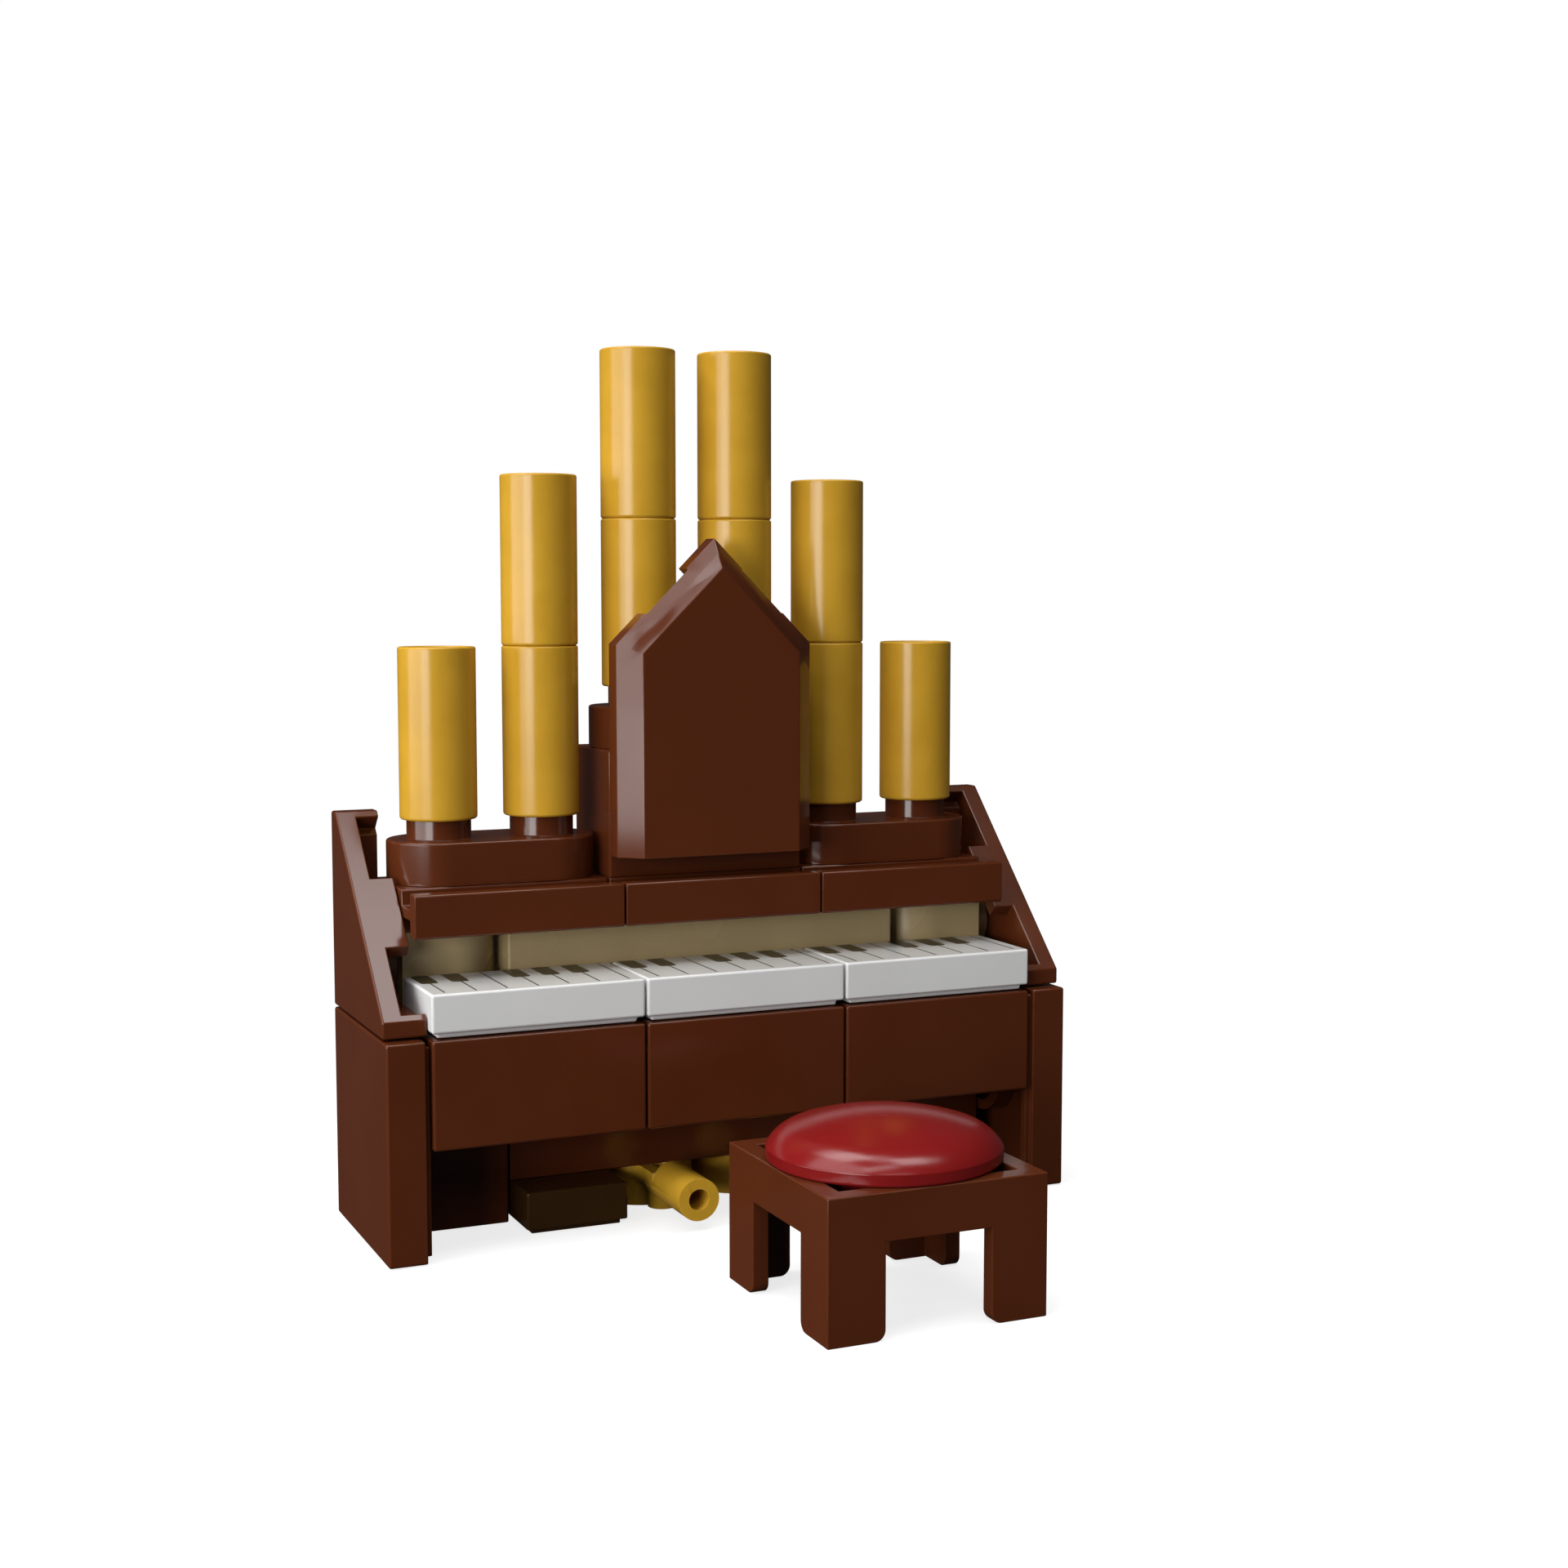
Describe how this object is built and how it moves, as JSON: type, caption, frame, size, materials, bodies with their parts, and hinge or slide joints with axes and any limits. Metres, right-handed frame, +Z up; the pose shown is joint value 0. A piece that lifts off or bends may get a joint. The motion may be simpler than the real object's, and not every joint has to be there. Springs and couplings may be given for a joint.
{
  "type": "toy brick pipe organ with stool",
  "caption": "Toy pipe organ of moulded studded bricks with pipes, printed keyboard, crest, pedals and a separate stool with a round seat.",
  "frame": {"origin": "on the floor, at the middle of the whole footprint, stool included", "axes": "+Z up, +X along the keyboard to the player's right, +Y from the stool towards the pipes"},
  "size_m": [0.0544, 0.0468, 0.0654],
  "materials": {
    "brown_plastic": "glossy moulded plastic, reddish brown",
    "dark_brown_plastic": "glossy moulded plastic, dark brown",
    "gold_plastic": "satin pearl gold moulded plastic",
    "white_plastic": "glossy white moulded plastic with printed keys",
    "tan_plastic": "moulded plastic, dark tan",
    "red_plastic": "very glossy moulded plastic, dark red"
  },
  "bodies": {
    "root": {"corner_block_left": "brown_plastic", "corner_block_right": "brown_plastic", "crest": "brown_plastic", "crest_block": "brown_plastic", "front_bracket": "brown_plastic", "front_panel_centre": "brown_plastic", "front_panel_left": "brown_plastic", "front_panel_right": "brown_plastic", "key_wall_centre": "tan_plastic", "key_wall_left": "tan_plastic", "key_wall_right": "tan_plastic", "keyboard_centre": "white_plastic", "keyboard_left": "white_plastic", "keyboard_right": "white_plastic", "kick_panel": "brown_plastic", "panel_carrier": "brown_plastic", "pedal_knob_left": "gold_plastic", "pedal_knob_right": "gold_plastic", "pedal_left": "dark_brown_plastic", "pedal_right": "dark_brown_plastic", "pipe_1_lower": "gold_plastic", "pipe_2_lower": "gold_plastic", "pipe_2_upper": "gold_plastic", "pipe_3_lower": "gold_plastic", "pipe_3_upper": "gold_plastic", "pipe_4_lower": "gold_plastic", "pipe_4_upper": "gold_plastic", "pipe_5_lower": "gold_plastic", "pipe_5_upper": "gold_plastic", "pipe_6_lower": "gold_plastic", "pipe_base_centre": "brown_plastic", "pipe_base_left": "brown_plastic", "pipe_base_right": "brown_plastic", "rail_centre": "brown_plastic", "rail_left": "brown_plastic", "rail_right": "brown_plastic", "side_panel_left": "brown_plastic", "side_panel_right": "brown_plastic", "side_wing_left": "brown_plastic", "side_wing_right": "brown_plastic", "stool_frame": "brown_plastic", "stool_seat": "red_plastic"}
  },
  "joints": []
}
